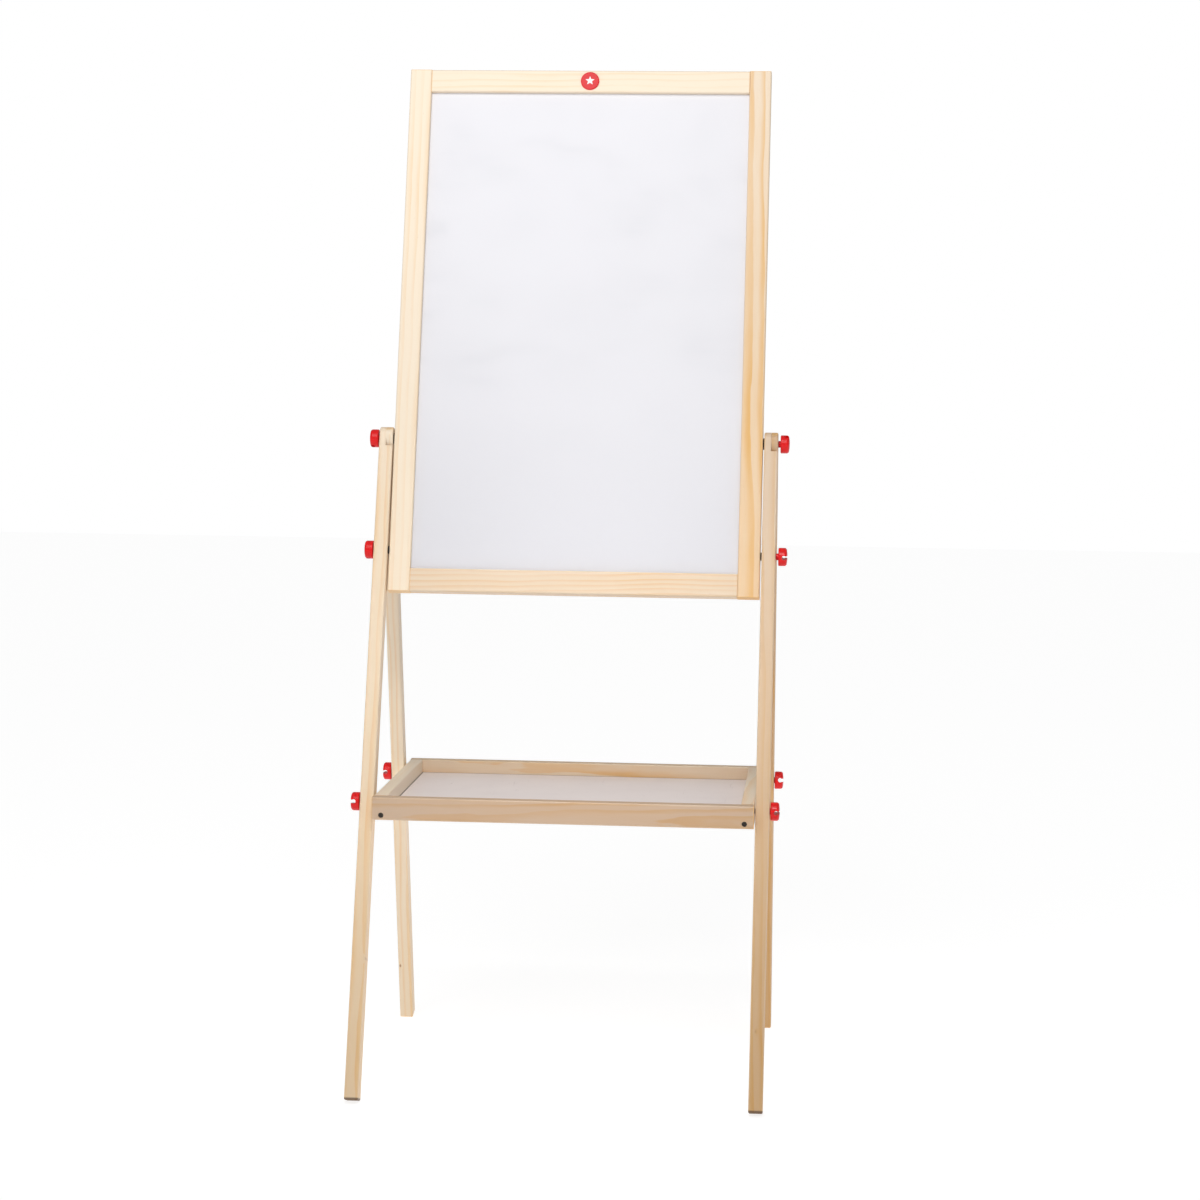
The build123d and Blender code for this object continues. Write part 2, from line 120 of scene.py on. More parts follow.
class Number:
    """A node's output socket, so that maths on numbers reads as arithmetic."""

    def __init__(self, tree, socket):
        self.tree = tree
        self.socket = socket

    def maths(self, operation, *inputs):
        return self.tree.node("ShaderNodeMath", {"operation": operation}, dict(enumerate(inputs)))

    def __add__(self, other):
        return self.maths("ADD", self, other)

    def __sub__(self, other):
        return self.maths("SUBTRACT", self, other)

    def __rsub__(self, other):
        return self.maths("SUBTRACT", other, self)

    def __mul__(self, other):
        return self.maths("MULTIPLY", self, other)

    def __truediv__(self, other):
        return self.maths("DIVIDE", self, other)

    def __rtruediv__(self, other):
        return self.maths("DIVIDE", other, self)

    def __pow__(self, other):
        return self.maths("POWER", self, other)

    def __abs__(self):
        return self.maths("ABSOLUTE", self)

    __radd__ = __add__
    __rmul__ = __mul__

    def fraction(self):
        return self.maths("FRACT", self)

    def sine(self):
        return self.maths("SINE", self)

    def bearing(self, across):
        """The angle of a point this far up and that far across, in turns."""
        return self.maths("ARCTAN2", self, across) / math.tau

    def smaller(self, other):
        return self.maths("MINIMUM", self, other)

    def larger(self, other):
        return self.maths("MAXIMUM", self, other)

    def rise(self, start, end):
        """0 before start, 1 after end, and smooth between; a fall if end comes first."""
        low, high, ends = (start, end, (0, 1)) if start < end else (end, start, (1, 0))
        sockets = {"Value": self, "From Min": low, "From Max": high,
                   "To Min": ends[0], "To Max": ends[1]}
        return self.tree.node("ShaderNodeMapRange", {"interpolation_type": "SMOOTHSTEP"}, sockets)


class Tree:
    """A node tree under construction."""

    def __init__(self, tree):
        self.tree = tree

    def set(self, node, sockets):
        """Give a node's sockets their values, or link them; a list links each of its values."""
        for key, value in sockets.items():
            for one in value if isinstance(value, list) else (value,):
                if isinstance(one, Number):
                    self.tree.links.new(one.socket, node.inputs[key])
                else:
                    node.inputs[key].default_value = one

    def node(self, kind, settings=None, sockets=None, output=0):
        """Add a node: its settings first, then its sockets' values or links."""
        node = self.tree.nodes.new(kind)
        for key, value in (settings or {}).items():
            setattr(node, key, value)
        self.set(node, sockets or {})
        return Number(self, node.outputs[output] if node.outputs else None)

    def parts(self, vector):
        """The x, y and z of a vector."""
        split = self.node("ShaderNodeSeparateXYZ", None, {"Vector": vector}).socket.node
        return [Number(self, socket) for socket in split.outputs]

    def vector(self, x, y, z):
        return self.node("ShaderNodeCombineXYZ", None, {"X": x, "Y": y, "Z": z})


class Finish(Tree):
    """A material under construction, with one principled shader."""

    def __init__(self, name, **constants):
        self.material = bpy.data.materials.new(name)
        self.material.use_nodes = True
        super().__init__(self.material.node_tree)
        self.tree.nodes.clear()
        shading = self.node("ShaderNodeBsdfPrincipled", None, constants)
        self.surface = shading.socket.node
        self.node("ShaderNodeOutputMaterial", None, {"Surface": shading})

    def place(self, centre, turn):
        """Object coordinates in a piece's own frame, in millimetres."""
        coordinates = self.node("ShaderNodeTexCoord", output="Object")
        sockets = {"Vector": coordinates, "Location": centre, "Rotation": turn,
                   "Scale": (MM, MM, MM)}
        return self.node("ShaderNodeMapping", {"vector_type": "TEXTURE"}, sockets)

    def noise(self, seed, *spans, detail=2.0, roughness=0.5, distortion=0.0):
        """Noise about 0.5, from pairs of a coordinate and its features' length along it."""
        places = [place / length for place, length in spans]
        places += [0.0] * (3 - len(places))
        sockets = {"Vector": self.vector(*places), "W": seed, "Scale": 1.0, "Detail": detail,
                   "Roughness": roughness, "Distortion": distortion}
        return self.node("ShaderNodeTexNoise", {"noise_dimensions": "4D"}, sockets)

    def colour_mix(self, share, first, second, blend="MIX"):
        settings = {"data_type": "RGBA", "blend_type": blend, "clamp_factor": True}
        return self.node("ShaderNodeMix", settings, {0: share, 6: first, 7: second}, output=2)

    def bump(self, height, distance, strength=1.0):
        """A bump whose height of 1 stands distance metres proud."""
        sockets = {"Height": height, "Distance": distance, "Strength": strength}
        return self.node("ShaderNodeBump", None, sockets)

    def finish(self, **varying):
        """Link what varies over the surface, and give back the material."""
        self.set(self.surface, {key.replace("_", " "): value for key, value in varying.items()})
        return self.material


def dress(node, material):
    """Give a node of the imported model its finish."""
    mesh = NODES[node].data
    if not mesh.materials:
        mesh.materials.append(material)
    for index in range(len(mesh.materials)):
        mesh.materials[index] = material


# ---------------------------------------------------------------- geometry building

class Recipe(Tree):
    """A geometry tree under construction, with a named input for each of its values.

    Its last step is always to copy the result onto the starting points, each copy's z
    along the point's own direction and turned about it by a random share of a turn.
    """

    SOCKETS = {float: "NodeSocketFloat", int: "NodeSocketInt",
               bpy.types.Material: "NodeSocketMaterial"}

    def __init__(self, name, **values):
        super().__init__(bpy.data.node_groups.new(name, "GeometryNodeTree"))
        self.values = {key.replace("_", " "): value for key, value in values.items()}
        for way in ("INPUT", "OUTPUT"):
            self.tree.interface.new_socket("Geometry", in_out=way, socket_type="NodeSocketGeometry")
        for key, value in self.values.items():
            kind = self.SOCKETS[type(value)]
            self.tree.interface.new_socket(key, in_out="INPUT", socket_type=kind)
        self.inputs = self.tree.nodes.new("NodeGroupInput")

    def __getitem__(self, key):
        return Number(self, self.inputs.outputs[key])

    def reshape(self, geometry, place):
        sockets = {"Geometry": geometry, "Position": place}
        return self.node("GeometryNodeSetPosition", None, sockets)

    def spot(self):
        """Where each vertex is."""
        return self.parts(self.node("GeometryNodeInputPosition"))

    def grow(self, geometry, name, places, directions):
        """Finish the tree, run it on the starting points, and keep the result as a plain mesh."""
        along = self.node("GeometryNodeInputNamedAttribute", {"data_type": "FLOAT_VECTOR"},
                          {"Name": "along"})
        aligned = self.node("FunctionNodeAlignRotationToVector", {"axis": "Z"}, {"Vector": along})
        chance = self.node("FunctionNodeRandomValue", {"data_type": "FLOAT"},
                           {"Seed": self["Seed"]}, output=1)
        spin = self.vector(0.0, 0.0, chance * math.tau)
        turned = self.node("FunctionNodeRotateRotation", {"rotation_space": "LOCAL"},
                           {"Rotation": aligned, "Rotate By": spin})
        copies = self.node("GeometryNodeInstanceOnPoints", None, {
            "Points": self["Geometry"], "Instance": geometry, "Rotation": turned,
        })
        plain = self.node("GeometryNodeRealizeInstances", None, {"Geometry": copies})
        dressed = self.node("GeometryNodeSetMaterial", None, {
            "Geometry": plain, "Material": self["Material"],
        })
        self.node("NodeGroupOutput", None, {"Geometry": dressed})

        start = bpy.data.meshes.new(f"{name} start")
        start.from_pydata([tuple(place) for place in places], [], [])
        headings = start.attributes.new("along", "FLOAT_VECTOR", "POINT")
        for entry, direction in zip(headings.data, directions):
            entry.vector = direction
        piece = bpy.data.objects.new(name, start)
        bpy.context.scene.collection.objects.link(piece)
        modifier = piece.modifiers.new(self.tree.name, "NODES")
        modifier.node_group = self.tree
        for item in self.tree.interface.items_tree:
            if item.in_out == "INPUT" and item.name in self.values:
                modifier[item.identifier] = self.values[item.name]
        ready = bpy.context.evaluated_depsgraph_get()
        mesh = bpy.data.meshes.new_from_object(piece.evaluated_get(ready), depsgraph=ready)
        if not mesh.polygons:
            raise RuntimeError(f"the tree {self.tree.name} made no faces for {name}")
        piece.modifiers.remove(modifier)
        piece.data = mesh
        return piece


THREAD_SIDES = 24        # flats round a threaded rod
THREAD_STEPS = 6         # rows of faces to each turn of the thread
THREAD_FLAT = 0.2        # share of the thread's slope left flat at its crest and its root
THREAD_TIP = 0.8         # share of the radius that the taper takes off at the very end


def threaded_rod(recipe, length, radius, pitch, depth, taper):
    """A rod with a helical thread, its end at +z tapering over the last stretch."""
    rod = recipe.node("GeometryNodeMeshCylinder", None, {
        "Vertices": THREAD_SIDES, "Side Segments": length / pitch * THREAD_STEPS,
        "Radius": radius, "Depth": length,
    })
    x, y, z = recipe.spot()
    turn = (z / pitch - y.bearing(x)).fraction()
    slope = abs(turn * 2 - 1)
    crest = ((slope - THREAD_FLAT) / (1 - 2 * THREAD_FLAT)).larger(0.0).smaller(1.0)
    reach = radius - (1 - crest) * depth
    into_taper = (taper - (length / 2 - z)).larger(0.0)
    reach = reach.smaller(radius - into_taper * (radius * THREAD_TIP / taper))
    share = reach / (x * x + y * y) ** 0.5
    shaped = recipe.reshape(rod, recipe.vector(x * share, y * share, z))
    return recipe.node("GeometryNodeSetShadeSmooth", None, {"Geometry": shaped})


# ---------------------------------------------------------------- settings

def colour_setting(name, description, red, green, blue):
    """A colour, by its display values."""
    return FloatVectorProperty(name=name, description=description, subtype="COLOR", size=4,
                               min=0.0, max=1.0, default=linear(red, green, blue))


def share_setting(name, description, default):
    """A share between 0 and 1."""
    return FloatProperty(name=name, description=description, subtype="FACTOR",
                         min=0.0, max=1.0, default=default)


def length_setting(name, description, millimetres):
    """A short length, given in millimetres and held in metres."""
    return FloatProperty(name=name, description=description, subtype="DISTANCE", unit="LENGTH",
                         min=0.05 * MM, default=millimetres * MM, precision=5)


def angle_setting(name, description, degrees):
    """An angle, given in degrees and held in radians."""
    return FloatProperty(name=name, description=description, subtype="ANGLE", unit="ROTATION",
                         default=math.radians(degrees))


def power_setting(name, description, watts):
    """A light's power."""
    return FloatProperty(name=name, description=description, subtype="POWER", unit="POWER",
                         default=watts, min=0.0)


class EaselWoodSettings(PropertyGroup):
    early: colour_setting("Early wood", "Pale wood between the growth lines", 245, 228, 204)
    late: colour_setting("Late wood", "Orange wood of the growth lines", 237, 186, 110)
    # The knot colour is also the brown that depth mixes in as painted shade.
    knot: colour_setting("Knot", "Heart of a knot", 150, 98, 58)
    # Painted shade: the dark foot of each front leg stands in for a contact shadow.
    foot_shade: colour_setting("Painted foot shade", "Painted contact shadow at a front leg's foot", 74, 52, 40)
    ring: FloatProperty(name="Ring spacing", default=6.5, min=1.0, max=20.0,
                        description="Usual distance between growth lines, in mm")
    roughness: share_setting("Roughness", "Roughness of the clear lacquer", 0.46)


class EaselSheetSettings(PropertyGroup):
    white: colour_setting("Whiteboard", "White writing lacquer", 218, 217, 222)
    black: colour_setting("Blackboard", "Blackboard paint", 42, 46, 45)
    chalk: colour_setting("Chalk", "Wiped chalk dust", 176, 180, 178)
    tray: colour_setting("Tray floor", "White-coated tray panel", 244, 234, 231)


class EaselPlasticSettings(PropertyGroup):
    red: colour_setting("Red", "Moulded plastic of the knobs", 230, 12, 16)
    badge: colour_setting("Badge", "Plastic of the badge", 222, 24, 32)
    star: colour_setting("Star", "Plastic of the badge's star", 250, 246, 244)
    rubber: colour_setting("Rubber", "Washers and pads", 30, 28, 28)
    roughness: share_setting("Roughness", "Roughness of the knobs", 0.34)


class EaselMetalSettings(PropertyGroup):
    zinc: colour_setting("Zinc", "Bright zinc plate on the steel", 196, 198, 202)
    black: colour_setting("Screw steel", "Dark phosphate on the tray's screws", 52, 46, 42)
    pitch: length_setting("Stud pitch", "Rise of a stud's thread in one turn", 1.0)
    depth: length_setting("Stud thread", "Depth of a stud's thread", 0.5)
    tip: length_setting("Stud tip", "Length of the taper at a stud's end", 0.8)
    screw_length: length_setting("Screw length", "Length of a tray screw, head and all", 34.0)
    screw_pitch: length_setting("Screw pitch", "Rise of a screw's thread in one turn", 1.8)
    screw_depth: length_setting("Screw thread", "Depth of a screw's thread", 0.6)
    point: length_setting("Screw point", "Length of the taper at a screw's end", 6.0)
    head: length_setting("Head height", "Height of a screw's countersunk head", 2.4)
    shank: length_setting("Shank radius", "Radius of a screw behind its head", 1.75)
    cross: length_setting("Cross", "Length of the driver cross in a screw's head", 3.6)
    seed: IntProperty(name="Seed", description="Chooses how the screws and studs are turned",
                      default=7)


class EaselStudioSettings(PropertyGroup):
    floor: colour_setting("Floor", "The studio floor", 168, 168, 168)
    glow: FloatProperty(name="Floor glow", description="Light that comes through the floor panel",
                        default=0.82, min=0.0)
    sky: FloatProperty(name="Surround", description="Brightness of the studio's surround",
                       default=0.38, min=0.0)
    key: power_setting("Key light", "Power of the large light at the upper left", 6.2)
    fill: power_setting("Tray light", "Power of the narrow light that reaches into the tray", 0.30)
    viewpoint: FloatVectorProperty(name="Camera place", description="Where the camera stands",
                                   subtype="TRANSLATION", unit="LENGTH", size=3,
                                   default=(0.2953, -3.3620, 0.8460))
    heading: angle_setting("Heading", "The camera's turn to the left of straight ahead", 4.53)
    tilt: angle_setting("Tilt", "The camera's tilt upwards", -5.04)
    roll: angle_setting("Roll", "The camera's roll to the right", 0.70)
    lens: FloatProperty(name="Lens", description="Focal length on a 36 mm wide sensor, in mm",
                        default=87.29, min=10.0)


SETTINGS = {
    "easel_wood": EaselWoodSettings, "easel_sheets": EaselSheetSettings,
    "easel_plastic": EaselPlasticSettings, "easel_metal": EaselMetalSettings,
    "easel_studio": EaselStudioSettings,
}


# ---------------------------------------------------------------- wood

class Cut:
    """How a piece of wood was cut from its log, in its own frame and in millimetres.

    pith is where the log's centre lies beside the piece, drift how far that centre moves
    across the piece for each millimetre along it, ring the growth lines' spacing as a share
    of the usual one, contrast how strong they are, and wave how much they wander.
    tone is how orange the piece is, partly its own colour and partly painted light and shade
    set piece by piece; fade is painted shade, how much more orange a metre further down it;
    and depth how brown, painted shade on pieces that sit in less light. knots are (x, z,
    radius, depth of colour) on the broad face, and soiled is how far painted contact shade
    reaches up from the lower end.
    """

    def __init__(self, seed, pith, drift, ring=1.0, contrast=1.0, tone=0.0, fade=0.0,
                 depth=0.0, wave=1.0, knots=(), foot_shade_reach=0.0):
        self.seed = seed
        self.pith = pith
        self.drift = drift
        self.ring = ring
        self.contrast = contrast
        self.tone = tone
        self.fade = fade
        self.depth = depth
        self.wave = wave
        self.knots = knots
        self.foot_shade_reach = foot_shade_reach


KNOT_STRETCH = 1.7       # a knot's length over its breadth
KNOT_PUSH = 1.9          # how far the growth lines bend round a knot, in knot radii
WANDER = 16.0            # how far the log's centre wanders along a piece, mm
RIPPLE = 2.4             # how far the growth lines swell and pinch, mm
END_REACH = 1.2          # how far from a cut end the lacquer has soaked in, mm
RELIEF = 0.05            # height of the grain under the lacquer, mm


def knot_distance(x, z, knot):
    """Distance from a knot's heart in knot radii, stretched along the grain."""
    knot_x, knot_z, radius, _ = knot
    aside = (x - knot_x) / radius
    along = (z - knot_z) / (KNOT_STRETCH * radius)
    return (aside * aside + along * along) ** 0.5


def pine(name, piece, cut, wood, ease=1.8):
    """Clear-lacquered pine: growth lines, fibre, resin flecks, knots, worn arrises with a painted highlight, a
    front-leg foot with painted contact shade, and painted shade set piece by piece.
    """
    finish = Finish(name, **{"Specular IOR Level": 0.4, "Coat Roughness": 0.3, "Coat Weight": 0.12})
    spot = finish.place(piece.centre, piece.turn)
    x, y, z = finish.parts(spot)

    # The log's centre wanders slowly along the piece, and the growth lines swell and pinch.
    wander = finish.noise(cut.seed, (x, 60), (y, 60), (z, 190), detail=1.0)
    wander = (wander - 0.5) * (WANDER * cut.wave)
    ripple = finish.noise(cut.seed + 3, (x, 10), (y, 10), (z, 58))
    ripple = (ripple - 0.5) * (RIPPLE * cut.wave)
    off_x = x - cut.pith[0] - z * cut.drift[0] + wander
    off_y = y - cut.pith[1] - z * cut.drift[1]
    radius = (off_x * off_x + off_y * off_y) ** 0.5 + ripple
    heart = None
    for knot in cut.knots:
        distance = knot_distance(x, z, knot)
        radius = radius + distance.rise(3.2, 0.2) * (KNOT_PUSH * knot[2])
        spotting = distance.rise(1.25, 0.35) * knot[3]
        heart = spotting if heart is None else heart.larger(spotting)

    spacing = wood.ring * cut.ring
    uneven = (finish.noise(cut.seed + 5, (radius, 2.6 * spacing)) - 0.5) * 1.5
    ring = (radius / spacing + uneven).fraction()
    late = ring.rise(0.30, 0.90) * ring.rise(1.0, 0.93)
    strength = finish.noise(cut.seed + 7, (radius, 9), (z, 240), detail=1.0).rise(0.28, 0.72)
    band = late * (0.35 + 0.65 * strength) * cut.contrast

    fibre = finish.noise(cut.seed + 11, (x, 0.625), (y, 0.625), (z, 26), detail=4.0, roughness=0.62)
    fleck = finish.noise(cut.seed + 13, (x, 1 / 2.4), (y, 1 / 2.4), (z, 7), detail=1.0)
    fleck = fleck.rise(0.70, 0.80)
    cloud = finish.noise(cut.seed + 17, (x, 22), (y, 22), (z, 130))

    # Painted light and shade: how orange each piece is, and how much more so further down, is set to the light
    # that falls on it as well as to its own colour.
    tone = cut.tone - z * (cut.fade / 1000)
    share = band * 0.82 + (fibre - 0.5) * 0.30 + (cloud - 0.5) * 0.4 + tone
    share = share.larger(0.0).smaller(1.0)
    colour = finish.colour_mix(share, wood.early, wood.late)
    # Painted shade: depth browns the pieces that sit in less light.
    if cut.depth:
        colour = finish.colour_mix(cut.depth, colour, wood.knot)
    colour = finish.colour_mix(fleck * 0.22, colour, wood.knot)
    if heart is not None:
        grainy = heart * (0.55 + 0.45 * (radius / 0.9).sine())
        colour = finish.colour_mix(grainy, colour, wood.knot)

    # Arrises are sanded smoother, and painted paler as a painted highlight where the rounded edges catch the
    # light; the cut ends drink more lacquer and go darker.
    half_x, half_y, half_z = piece.half / MM
    arris_wear_and_highlight = (abs(x) - (half_x - ease)).rise(0.0, ease) * (abs(y) - (half_y - ease)).rise(0.0, ease)
    end = (abs(z) - (half_z - END_REACH)).rise(0.0, 1.0)
    # Painted highlight: the paler arrises stand in for light catching the rounded edges, as well as for sanding.
    colour = finish.colour_mix(arris_wear_and_highlight * 0.45, colour, wood.early)
    colour = finish.colour_mix(end * 0.5, colour, wood.late)
    # Painted shade: a front leg's lowest few millimetres darken as a painted contact shadow.
    if cut.foot_shade_reach:
        foot_shade_share = (z + half_z).rise(cut.foot_shade_reach, cut.foot_shade_reach * 0.4)
        colour = finish.colour_mix(foot_shade_share * 0.85, colour, wood.foot_shade)

    roughness = wood.roughness + (fibre - 0.5) * 0.22 + late * 0.05 - arris_wear_and_highlight * 0.08 + end * 0.2
    relief = finish.bump(fibre * 0.6 + late * 0.4 - fleck * 0.5, RELIEF * MM, 0.6)
    return finish.finish(Base_Color=colour, Roughness=roughness, Normal=relief)


# ---------------------------------------------------------------- other finishes

WIPED_HAZE = linear(214, 216, 222)
SCUFF = linear(190, 178, 178)
# Painted shadow: the dark line where the tray panel meets its rails.
RIM_SHADOW = linear(104, 92, 84)
RIM_WIDTH = 4.8          # from the tray panel's hidden edge to the end of its painted shadow line, mm
RUBBED_RED = linear(255, 150, 140)
DULL_ZINC = linear(150, 150, 142)
BARE_STEEL = linear(150, 146, 140)
BLOOM = linear(84, 80, 78)
SWEEP_CENTRE = 330.0     # how far below the board's middle the wiping arm swings from, mm


def white_lacquer(name, piece, colour):
    """Semi-gloss writing lacquer with the faint haze and strokes of wiping."""
    finish = Finish(name, **{"Specular IOR Level": 0.5, "Coat Weight": 0.15, "Coat Roughness": 0.2})
    x, y, z = finish.parts(finish.place(piece.centre, piece.turn))
    haze = finish.noise(2.0, (x, 90), (z, 60), detail=3.0, distortion=0.6)
    wipes = finish.noise(5.0, (x, 70), (z, 9), detail=3.0, distortion=0.4)
    film = haze.rise(0.45, 0.75) * wipes.rise(0.40, 0.75)
    tint = finish.colour_mix(film * 0.18, colour, WIPED_HAZE)
    roughness = 0.30 + film * 0.14 + (haze - 0.5) * 0.10
    peel = finish.noise(9.0, (x, 1.6), (z, 1.6), (y, 1.6), detail=1.0)
    relief = finish.bump(peel, 0.02 * MM, 0.35)
    return finish.finish(Base_Color=tint, Roughness=roughness, Normal=relief)


def chalk_paint(name, piece, colour, chalk):
    """Matt blackboard paint with a film of wiped chalk in sweeping arcs."""
    finish = Finish(name, **{"Specular IOR Level": 0.3})
    x, y, z = finish.parts(finish.place(piece.centre, piece.turn))
    up = z + SWEEP_CENTRE
    sweep = (x * x + up * up) ** 0.5
    arcs = finish.noise(3.0, (sweep, 13), (x, 240), (z, 240), detail=4.0, roughness=0.6,
                        distortion=0.3)
    patches = finish.noise(8.0, (x, 120), (z, 150), distortion=0.8)
    tooth = finish.noise(12.0, (x, 1 / 2.2), (z, 1 / 2.2), (y, 1 / 2.2))
    film = patches.rise(0.42, 0.72) * arcs.rise(0.35, 0.75) * (0.5 + tooth * 0.5)
    tint = finish.colour_mix(film * 0.30 + 0.02, colour, chalk)
    roughness = 0.72 + film * 0.20 + (tooth - 0.5) * 0.12
    relief = finish.bump(tooth, 0.04 * MM, 0.5)
    return finish.finish(Base_Color=tint, Roughness=roughness, Normal=relief)


def coated_board(name, piece, colour):
    """Smooth coated hardboard, scuffed where things slide about, with painted shadow along its rims where they
    meet the rails.
    """
    finish = Finish(name, **{"Specular IOR Level": 0.45})
    x, y, z = finish.parts(finish.place(piece.centre, piece.turn))
    scuffs = finish.noise(4.0, (x, 5), (z, 42), detail=4.0, distortion=1.2).rise(0.62, 0.78)
    dust = finish.noise(6.0, (x, 70), (z, 70), (y, 70), detail=3.0)
    tint = finish.colour_mix(scuffs * 0.22 + (dust - 0.5) * 0.25 + 0.05, colour, SCUFF)
    half_x, _, half_z = piece.half / MM
    side = (abs(x) - (half_x - RIM_WIDTH)).rise(0.0, 0.5)
    end = (abs(z) - (half_z - RIM_WIDTH)).rise(0.0, 0.5)
    # Painted shadow along the rims, where the rails shade the panel's edges.
    tint = finish.colour_mix(side.larger(end) * 0.8, tint, RIM_SHADOW)
    roughness = 0.42 + scuffs * 0.16 + (dust - 0.5) * 0.15
    grit = finish.noise(10.0, (x, 0.9), (z, 0.9), (y, 0.9), detail=1.0)
    relief = finish.bump(grit, 0.02 * MM, 0.3)
    return finish.finish(Base_Color=tint, Roughness=roughness, Normal=relief)


def moulded_plastic(name, centre, colour, roughness, wear=0.0):
    """Satin moulded plastic: fine mould texture, slight flow marks, rubbed high spots."""
    finish = Finish(name, **{
        "Specular IOR Level": 0.32, "Coat Weight": 0.05, "Coat Roughness": 0.25,
    })
    x, y, z = finish.parts(finish.place(centre, (0, 0, 0)))
    grain = finish.noise(1.0, (x, 1 / 3), (y, 1 / 3), (z, 1 / 3))
    flow = finish.noise(4.0, (x, 6), (y, 5), (z, 7), distortion=1.0)
    deep = finish.colour_mix(0.35, colour, BLACK)
    tint = finish.colour_mix(flow.rise(0.35, 0.75) * 0.22, colour, deep)
    scratches = finish.noise(7.0, (x, 1 / 1.5), (y, 3), (z, 0.4), detail=3.0).rise(0.60, 0.75)
    tint = finish.colour_mix(scratches * wear, tint, RUBBED_RED)
    gloss = roughness + (grain - 0.5) * 0.10 + scratches * 0.12
    relief = finish.bump(grain * 0.4 + flow * 0.6, 0.012 * MM, 0.25)
    return finish.finish(Base_Color=tint, Roughness=gloss, Normal=relief)


def zinc_plate(name, centre, colour):
    """Bright zinc plate, with fine turning marks round the axis and dull patches."""
    finish = Finish(name, **{"Metallic": 1.0})
    x, y, z = finish.parts(finish.place(centre, (0, 0, 0)))
    turning = finish.noise(2.0, (x, 0.2), (y, 2), (z, 2), detail=3.0)
    patches = finish.noise(5.0, (x, 3), (y, 3), (z, 3))
    tint = finish.colour_mix(patches.rise(0.4, 0.75) * 0.35, colour, DULL_ZINC)
    roughness = 0.26 + (turning - 0.5) * 0.20 + patches.rise(0.45, 0.8) * 0.18
    relief = finish.bump(turning, 0.01 * MM, 0.4)
    return finish.finish(Base_Color=tint, Roughness=roughness, Normal=relief)


def phosphated_steel(name, centre, colour):
    """Dark phosphate on steel, rubbed bright in specks by the driver."""
    finish = Finish(name, **{"Specular IOR Level": 0.4})
    x, y, z = finish.parts(finish.place(centre, (0, 0, 0)))
    crystals = finish.noise(2.0, (x, 1 / 6), (y, 1 / 6), (z, 1 / 6))
    rubbed = finish.noise(5.0, (x, 0.5), (y, 0.5), (z, 0.5)).rise(0.60, 0.72)
    tint = finish.colour_mix(rubbed * 0.35 + crystals * 0.08, colour, BARE_STEEL)
    roughness = 0.55 - rubbed * 0.2 + (crystals - 0.5) * 0.2
    relief = finish.bump(crystals, 0.02 * MM, 0.4)
    return finish.finish(Base_Color=tint, Roughness=roughness, Metallic=rubbed * 0.8, Normal=relief)


def matt_rubber(name, centre, colour):
    """Matt black rubber with a dusty bloom."""
    finish = Finish(name, **{"Specular IOR Level": 0.35})
    x, y, z = finish.parts(finish.place(centre, (0, 0, 0)))
    bloom = finish.noise(3.0, (x, 2), (y, 2), (z, 2), detail=3.0)
    grain = finish.noise(6.0, (x, 0.25), (y, 0.25), (z, 0.25), detail=1.0)
    tint = finish.colour_mix(bloom.rise(0.45, 0.8) * 0.3, colour, BLOOM)
    roughness = 0.78 + (bloom - 0.5) * 0.2
    relief = finish.bump(grain, 0.03 * MM, 0.5)
    return finish.finish(Base_Color=tint, Roughness=roughness, Normal=relief)


# ---------------------------------------------------------------- operators

# Painted shade: the right legs are set more orange and browner, and each leg more orange further down, for the
# light that falls on them.
LEG_CUTS = {
    "front_leg_left": Cut(11, (34, 46), (0.012, -0.010), contrast=0.5, tone=0.22, fade=0.45,
                          depth=0.05, knots=((7.0, -232, 1.3, 0.8),), foot_shade_reach=3.6),
    "front_leg_right": Cut(23, (-52, 38), (-0.008, 0.012), ring=1.1, contrast=0.45, tone=0.40,
                           fade=0.7, depth=0.32, knots=((-2.0, -300, 1.4, 0.3),), foot_shade_reach=3.6),
    "rear_leg_left": Cut(37, (40, -52), (0.014, 0.008), ring=0.9, contrast=0.55, tone=0.02,
                         fade=0.55, knots=((-5.5, -312, 1.4, 0.8),)),
    "rear_leg_right": Cut(41, (58, -36), (-0.010, 0.012), contrast=0.55, tone=0.60, fade=0.5,
                          depth=0.42),
}


class EASEL_OT_legs(Operator):
    """Give the four legs their pine"""
    bl_idname = "easel.legs"
    bl_label = "Legs"

    def execute(self, context):
        for node, cut in LEG_CUTS.items():
            run = FRONT_LEG_RUN if node.startswith("front") else REAR_LEG_RUN
            piece = PieceFrame(node, run, ACROSS)
            dress(node, pine(f"pine {node}", piece, cut, context.scene.easel_wood))
        return {"FINISHED"}


# Painted shade: the right stile and the bottom rail are set more orange and browner, the right stile more so
# further down, for the light that falls on them.
FRAME_CUTS = {
    "board_stile_left": Cut(53, (-58, 30), (0.006, 0.004), ring=1.25, contrast=0.38, tone=-0.06),
    "board_stile_right": Cut(61, (-24, 34), (-0.010, 0.006), ring=1.25, contrast=0.95, tone=0.28,
                             fade=0.75, depth=0.11),
    "board_rail_top": Cut(67, (-36, 28), (0.010, 0.004), ring=1.1, contrast=0.34, tone=-0.04),
    "board_rail_bottom": Cut(71, (-48, 22), (0.012, -0.006), ring=0.9, contrast=0.55, tone=0.08,
                             depth=0.20),
    "board_dowels": Cut(73, (20, 9), (0.0, 0.0), ring=0.6, contrast=0.5, tone=0.1),
}


